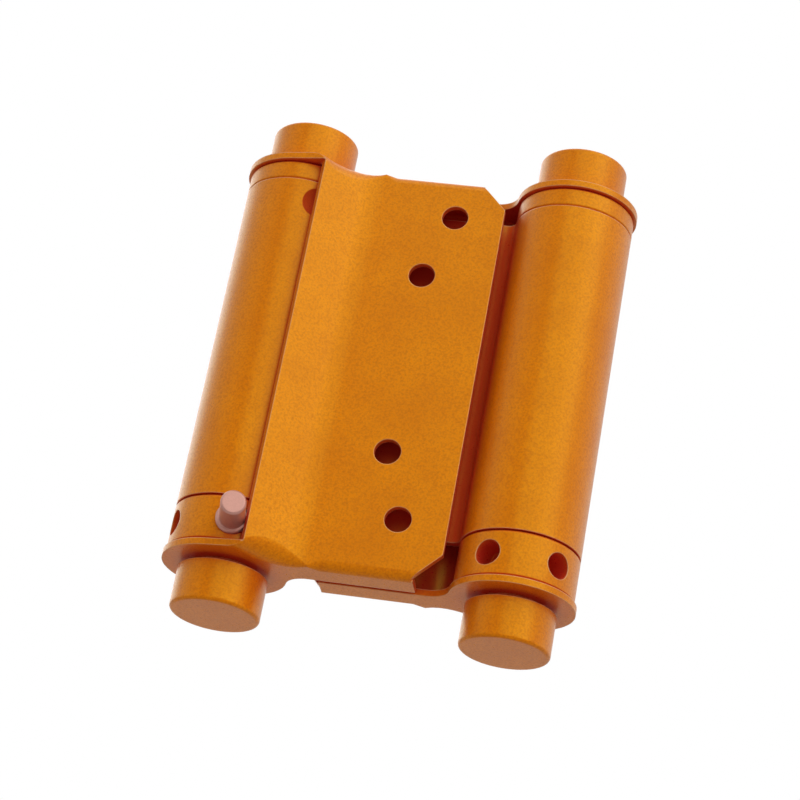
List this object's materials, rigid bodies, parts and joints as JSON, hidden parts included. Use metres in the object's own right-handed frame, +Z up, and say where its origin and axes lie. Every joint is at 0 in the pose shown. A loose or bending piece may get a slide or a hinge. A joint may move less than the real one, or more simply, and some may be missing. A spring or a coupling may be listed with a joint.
{
  "type": "double action cafe hinge",
  "caption": "Double action spring hinge for a cafe swing door: folded screw leaves on parallel sprung barrels, with tension collars, pins and round end caps.",
  "frame": {"origin": "middle of the closed hinge, midway between the barrel axes and between the ears", "axes": "+Z up along the barrels, +X across the barrels from the door side to the jamb side, +Y from the door leaf to the jamb leaf"},
  "size_m": [0.0704, 0.0352, 0.0926],
  "materials": {
    "copper_lacquer": "satin copper-coloured lacquer with a fine grain",
    "pin_steel": "bright turned steel",
    "spindle_steel": "drawn steel",
    "spring_steel": "oiled spring wire"
  },
  "bodies": {
    "jamb_side": {"jamb_leaf": "copper_lacquer", "jamb_spindle": "spindle_steel", "jamb_top_cap": "copper_lacquer", "jamb_bottom_cap": "copper_lacquer"},
    "jamb_collar": {"jamb_tension_collar": "copper_lacquer", "jamb_tension_pin": "pin_steel"},
    "centre": {"centre_barrel_sheet": "copper_lacquer", "door_top_plug": "copper_lacquer", "jamb_top_plug": "copper_lacquer", "door_spring": "spring_steel", "jamb_spring": "spring_steel"},
    "door_side": {"door_leaf": "copper_lacquer", "door_spindle": "spindle_steel", "door_top_cap": "copper_lacquer", "door_bottom_cap": "copper_lacquer"},
    "door_collar": {"door_tension_collar": "copper_lacquer", "door_tension_pin": "pin_steel"}
  },
  "joints": [
    {"name": "jamb_barrel_swing", "type": "hinge", "parent": "jamb_side", "child": "centre", "pos_m": [0.0245, 0, 0], "axis": [0, 0, 1], "range_deg": [0, 180], "stiffness_Nm_per_rad": 0.25, "springref_deg": -68.75, "deforming": ["jamb_spring"]},
    {"name": "door_barrel_swing", "type": "hinge", "parent": "centre", "child": "door_side", "pos_m": [-0.0245, 0, 0], "axis": [0, 0, -1], "range_deg": [0, 180], "stiffness_Nm_per_rad": 0.25, "springref_deg": -68.75, "deforming": ["door_spring"]},
    {"name": "jamb_collar_winding", "type": "hinge", "parent": "jamb_side", "child": "jamb_collar", "pos_m": [0.0245, 0, 0], "axis": [0, 0, -1], "range_deg": [0, 60], "stiffness_Nm_per_rad": 0.25, "springref_deg": -68.75, "deforming": ["jamb_spring"]},
    {"name": "door_collar_winding", "type": "hinge", "parent": "door_side", "child": "door_collar", "pos_m": [-0.0245, 0, 0], "axis": [0, 0, -1], "range_deg": [0, 60], "stiffness_Nm_per_rad": 0.25, "springref_deg": -68.75, "deforming": ["door_spring"]}
  ]
}
